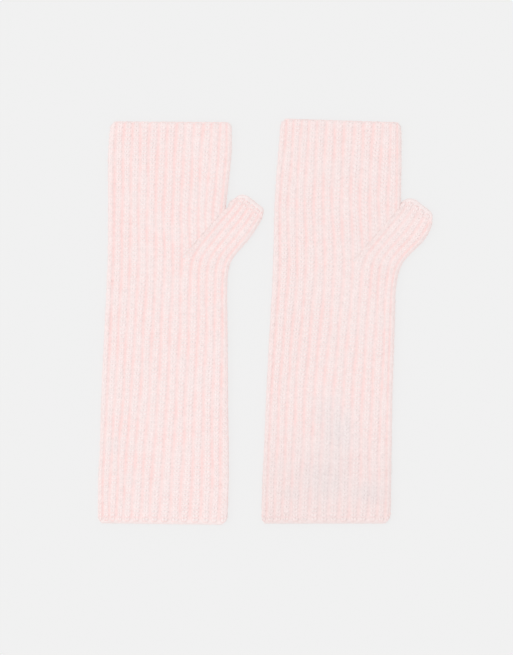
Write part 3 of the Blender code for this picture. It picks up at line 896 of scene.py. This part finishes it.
def knit_mitten(mitten, leg, materials, rng):
    """One mitten: the shells of its tube and thumb, their stitches and their nap."""
    turns = np.arange(ROUND_RIBS * RIB_COLUMNS) / RIB_COLUMNS
    at_thumb = (turns > SEAM_RIB) & (turns < THUMB_END_TURN)
    first_column = SEAM_RIB * RIB_COLUMNS
    thumb_columns = slice(first_column, THUMB_END_TURN * RIB_COLUMNS + 1)
    lower = lower_tube(mitten, turns)
    upper = upper_tube(mitten, turns)
    thumb, closed = thumb_wall(mitten, turns[thumb_columns])
    soften_bends(Wall(*(values[:, thumb_columns] for values in lower)), thumb, int(np.argmax(closed)))

    lower_ids = np.arange(lower.relief.size).reshape(lower.relief.shape)
    upper_ids = lower.relief.size + np.arange(upper.relief.size).reshape(upper.relief.shape)
    upper_ids[0] = np.where(at_thumb, upper_ids[0], lower_ids[-1])
    faces = np.concatenate((grid_faces(close_ring(lower_ids)), grid_faces(close_ring(upper_ids))))
    tube_slot = mitten.side + "_tube_knit"
    thumb_slot = mitten.side + "_thumb_knit"
    tube = closed_shell(mitten.side + "_tube_cloth", (lower, upper), faces, materials["cloth"])

    ids = np.arange(thumb.relief.size).reshape(thumb.relief.shape)
    ring = ids[closed]
    closing = grid_faces(np.stack((ring[:, -1], ring[:, 0]), axis=1))
    faces = np.concatenate((grid_faces(ids), closing))
    thumb_piece = closed_shell(mitten.side + "_thumb_cloth", (thumb,), faces, materials["cloth"])

    upper_ribs, under_ribs, thumb_ribs = [], [], []
    for rib in range(ROUND_RIBS):
        column = rib * RIB_COLUMNS
        face = under_ribs if HAND_RIBS < rib < ROUND_RIBS - 1 else upper_ribs
        if not at_thumb[column + 1]:
            face.append(rib_strip((lower, upper), (column, column), FIRST_COURSE, LAST_COURSE))
            continue
        below = rib_strip((lower,), (column,), FIRST_COURSE, 0.0)
        whole = rib_strip((lower, thumb), (column, column - first_column), FIRST_COURSE, THUMB_LAST_COURSE)
        is_palm = whole.stitches <= below.way[-1]
        face.append(whole._replace(stitches=whole.stitches[is_palm]))
        thumb_ribs.append(whole._replace(stitches=whole.stitches[~is_palm]))
        face.append(rib_strip((upper,), (column,), SEAM_COURSE, LAST_COURSE))
    groups = (
        ("_tube_stitches", upper_ribs, tube_slot),
        ("_tube_under_stitches", under_ribs, tube_slot),
        ("_thumb_stitches", thumb_ribs, thumb_slot),
    )
    knitted = {
        name: lay_stitches(mitten.side + name, ribs, leg, materials["yarn"], rng)
        for name, ribs, slot in groups
    }
    both = upper_ribs + under_ribs
    folds = round_ribs(both, END_ROW, 0)
    at_hem = [rib for rib in both if rib.base[0, 0, 1] < AT_HEM]
    at_top = [rib for rib in both if rib.base[-1, 0, 1] > AT_TOP]
    nap = lay_nap(mitten.side + "_tube_nap", (
        (fibre_roots(upper_ribs, FACE_FIBRES, FACE_SIDES, rng), FACE_LENGTH, LOW_RISE),
        (fibre_roots(folds, FOLD_FIBRES, FOLD_SIDES, rng), FOLD_LENGTH, STEEP_RISE),
        (end_roots(at_hem, END_FIBRES, True, rng), END_LENGTH, STEEP_RISE),
        (end_roots(at_top, END_FIBRES, False, rng), END_LENGTH, STEEP_RISE),
    ), materials["nap"], rng)
    thumb_folds = round_ribs(thumb_ribs, -END_ROW, 2)
    thumb_nap = lay_nap(mitten.side + "_thumb_nap", (
        (fibre_roots(thumb_ribs, THUMB_FACE_FIBRES, FACE_SIDES, rng), FACE_LENGTH, LOW_RISE),
        (fibre_roots(thumb_folds, THUMB_FOLD_FIBRES, FOLD_SIDES, rng), FOLD_LENGTH, STEEP_RISE),
        (fibre_roots(thumb_ribs[:1], SEAM_FIBRES, SEAM_SIDES, rng), SEAM_LENGTH, LOW_RISE),
        (end_roots(thumb_ribs, THUMB_END_FIBRES, False, rng), END_LENGTH, STEEP_RISE),
    ), materials["nap"], rng)
    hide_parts(mitten.side + "_mitten_tube")
    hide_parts(mitten.side + "_mitten_thumb")


def new_tree(name, given, returned):
    """A group of shader nodes with its sockets, and what it is given and what it returns."""
    tree = bpy.data.node_groups.new(name, "ShaderNodeTree")
    for way, sockets in (("INPUT", given), ("OUTPUT", returned)):
        for socket, kind in sockets:
            tree.interface.new_socket(socket, in_out=way, socket_type="NodeSocket" + kind)
    return tree, tree.nodes.new("NodeGroupInput").outputs, tree.nodes.new("NodeGroupOutput").inputs


def worked_out(tree, kind, operation, *values):
    """What a node of mathematics makes of one or two values."""
    node = tree.nodes.new(kind)
    node.operation = operation
    for number, value in enumerate(values):
        tree.links.new(value, node.inputs[number])
    return node.outputs


def product(tree, first, second):
    """Two values multiplied."""
    return worked_out(tree, "ShaderNodeMath", "MULTIPLY", first, second)["Value"]


def noise(tree, place, scale, detail):
    """A noise's value at each place."""
    node = tree.nodes.new("ShaderNodeTexNoise")
    node.inputs["Scale"].default_value = scale
    node.inputs["Detail"].default_value = detail
    tree.links.new(place, node.inputs["Vector"])
    return node.outputs["Fac"]


def mapped(tree, value, span, kind="LINEAR", high=None):
    """A value taken from one range to another, whose upper end another value may give."""
    node = tree.nodes.new("ShaderNodeMapRange")
    node.interpolation_type = kind
    for socket, number in zip(("From Min", "From Max", "To Min", "To Max"), span):
        node.inputs[socket].default_value = number
    tree.links.new(value, node.inputs["Value"])
    if high is not None:
        tree.links.new(high, node.inputs["To Max"])
    return node.outputs["Result"]


def tinted(tree, colour, mask, tint):
    """A colour that is multiplied by a tint where a mask says."""
    mix = tree.nodes.new("ShaderNodeMix")
    mix.data_type = "RGBA"
    mix.blend_type = "MULTIPLY"
    mix.inputs["B"].default_value = (*tint, 1.0)
    tree.links.new(mask, mix.inputs["Factor"])
    tree.links.new(colour, mix.inputs["A"])
    return mix.outputs["Result"]


def soft_spot_group():
    """A mask for one spot on the upper face, with a soft edge."""
    tree, given, result = new_tree(
        "soft_spot",
        (("Place", "Vector"), ("Centre", "Vector"), ("Reach", "Vector"), ("Strength", "Float")),
        (("Mask", "Float"),),
    )
    away = worked_out(tree, "ShaderNodeVectorMath", "SUBTRACT", given["Place"], given["Centre"])["Vector"]
    share = worked_out(tree, "ShaderNodeVectorMath", "DIVIDE", away, given["Reach"])["Vector"]
    length = worked_out(tree, "ShaderNodeVectorMath", "LENGTH", share)["Value"]
    mask = mapped(tree, length, SPOT_RANGE, "SMOOTHSTEP", given["Strength"])
    tree.links.new(mask, result["Mask"])
    return tree


def faded_spots(tree, place, spot_group):
    """The joined mask of all the faded spots."""
    masks = []
    for spot in FADED_SPOTS:
        node = tree.nodes.new("ShaderNodeGroup")
        node.node_tree = spot_group
        node.inputs["Centre"].default_value = (spot.x * MM, spot.y * MM, SPOT_HEIGHT)
        node.inputs["Reach"].default_value = (spot.reach_x * MM, spot.reach_y * MM, SPOT_DEPTH)
        node.inputs["Strength"].default_value = spot.strength
        tree.links.new(place, node.inputs["Place"])
        masks.append(node.outputs["Mask"])
    joined = masks[0]
    for mask in masks[1:]:
        joined = worked_out(tree, "ShaderNodeMath", "MAXIMUM", joined, mask)["Value"]
    return joined


def knit_colour_group(spot_group):
    """The colour of the knit: pinker and darker in the grooves as painted shade, a little uneven, faded and
    flecked in some spots, and duller towards the hem of the right mitten."""
    tree, given, result = new_tree(
        "knit_colour",
        (("Crest Colour", "Color"), ("Shaded Groove Colour", "Color")),
        (("Colour", "Color"), ("Fibre Height", "Float")),
    )
    nodes, links = tree.nodes, tree.links
    place = nodes.new("ShaderNodeTexCoord").outputs["Object"]
    depth = nodes.new("ShaderNodeAttribute")
    depth.attribute_name = "painted_groove_shade"
    axes = nodes.new("ShaderNodeSeparateXYZ")
    links.new(place, axes.inputs["Vector"])
    by_hem = mapped(tree, axes.outputs["Y"], HEM_RANGE, "SMOOTHSTEP")
    dull = product(tree, by_hem, mapped(tree, axes.outputs["X"], RIGHT_RANGE))
    faded = faded_spots(tree, place, spot_group)
    flecked = product(tree, mapped(tree, noise(tree, place, *FLECK_NOISE), FLECK_RANGE), faded)

    # Painted shade: the deeper a point lies between the ribs, the more it takes of the darker, pinker groove
    # colour.
    groove_shade_mix = mapped(tree, depth.outputs["Fac"], GROOVE_SHADE_RANGE, "SMOOTHSTEP")
    groove_shade_mix = product(tree, groove_shade_mix, mapped(tree, noise(tree, place, *STRETCH_NOISE), STRETCH_RANGE))
    groove_shade_mix = product(tree, groove_shade_mix, mapped(tree, faded, FADED_RANGE))
    groove_shade_mix = product(tree, groove_shade_mix, mapped(tree, dull, DULL_RANGE))
    ramp = nodes.new("ShaderNodeMix")
    ramp.data_type = "RGBA"
    links.new(groove_shade_mix, ramp.inputs["Factor"])
    links.new(given["Crest Colour"], ramp.inputs["A"])
    links.new(given["Shaded Groove Colour"], ramp.inputs["B"])
    uneven = nodes.new("ShaderNodeVectorMath")
    uneven.operation = "SCALE"
    links.new(ramp.outputs["Result"], uneven.inputs[0])
    links.new(mapped(tree, noise(tree, place, *CLOUD_NOISE), CLOUD_RANGE), uneven.inputs["Scale"])
    colour = uneven.outputs["Vector"]
    for mask, tint in ((faded, FADED_TINT), (flecked, FLECK_TINT), (dull, DULL_TINT)):
        colour = tinted(tree, colour, mask, tint)
    links.new(colour, result["Colour"])
    links.new(noise(tree, place, *FIBRE_NOISE), result["Fibre Height"])
    return tree


def new_material(name, surface):
    """A material with some values of its shader set."""
    material = bpy.data.materials.new(name)
    material.use_nodes = True
    shader = material.node_tree.nodes["Principled BSDF"]
    for socket, value in surface:
        shader.inputs[socket].default_value = value
    return material, shader


def wool_material(wool, group):
    """Brushed wool with its colour on the crests, and a darker, pinker colour painted into the grooves as
    shade.
    """
    material, shader = new_material(wool.name, WOOL_SURFACE)
    nodes, links = material.node_tree.nodes, material.node_tree.links
    knit = nodes.new("ShaderNodeGroup")
    knit.node_tree = group
    knit.inputs["Crest Colour"].default_value = (*wool.crest, 1.0)
    knit.inputs["Shaded Groove Colour"].default_value = (*wool.groove, 1.0)
    bump = nodes.new("ShaderNodeBump")
    bump.inputs["Distance"].default_value = BUMP_DISTANCE
    bump.inputs["Strength"].default_value = wool.bump
    links.new(knit.outputs["Colour"], shader.inputs["Base Color"])
    links.new(knit.outputs["Fibre Height"], bump.inputs["Height"])
    links.new(bump.outputs["Normal"], shader.inputs["Normal"])
    return material


def add_stage():
    """The floor, which is lit a little from below so that its shadows stay faint, and the studio light."""
    bpy.ops.mesh.primitive_plane_add(size=FLOOR_SIZE, location=(0.0, 0.0, 0.0))
    floor = bpy.context.object
    floor.name = "floor"
    floor.data.materials.append(new_material("pale_floor", FLOOR_SURFACE)[0])
    bpy.ops.object.light_add(type="SUN", location=SUN_PLACE)
    key = bpy.context.object
    key.data.energy = SUN_STRENGTH
    key.data.angle = SUN_WIDTH
    key.rotation_mode = "QUATERNION"
    key.rotation_quaternion = (-key.location).to_track_quat("-Z", "Y")
    world = bpy.data.worlds.new("studio")
    bpy.context.scene.world = world
    world.use_nodes = True
    background = world.node_tree.nodes["Background"]
    background.inputs["Color"].default_value = SKY_COLOUR
    background.inputs["Strength"].default_value = SKY_STRENGTH


def add_camera():
    """A long lens straight over the pair, framed as in the photograph."""
    data = bpy.data.cameras.new("camera")
    data.sensor_width = SENSOR
    data.lens = SENSOR * CAMERA_HEIGHT / (IMAGE_HEIGHT * MM_PER_PIXEL * MM)
    data.clip_end = CAMERA_REACH
    camera = bpy.data.objects.new("camera", data)
    camera.location = VIEW_CENTRE + Vector((0.0, 0.0, CAMERA_HEIGHT))
    bpy.context.scene.collection.objects.link(camera)
    bpy.context.scene.camera = camera


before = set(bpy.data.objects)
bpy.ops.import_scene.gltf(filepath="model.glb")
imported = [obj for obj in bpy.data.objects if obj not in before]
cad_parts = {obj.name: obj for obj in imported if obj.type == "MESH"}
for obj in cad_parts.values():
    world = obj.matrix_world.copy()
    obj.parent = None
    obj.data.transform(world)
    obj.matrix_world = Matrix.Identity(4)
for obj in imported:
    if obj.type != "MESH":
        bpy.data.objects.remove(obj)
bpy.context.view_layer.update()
bpy.context.scene.view_settings.view_transform = "Standard"
bpy.ops.object.select_all(action="DESELECT")
add_camera()
add_stage()
knit_colour = knit_colour_group(soft_spot_group())
materials = {part: wool_material(wool, knit_colour) for part, wool in WOOLS.items()}
rng = np.random.default_rng(SEED)
leg = yarn_leg()
for mitten in MITTENS:
    knit_mitten(mitten, leg, materials, rng)
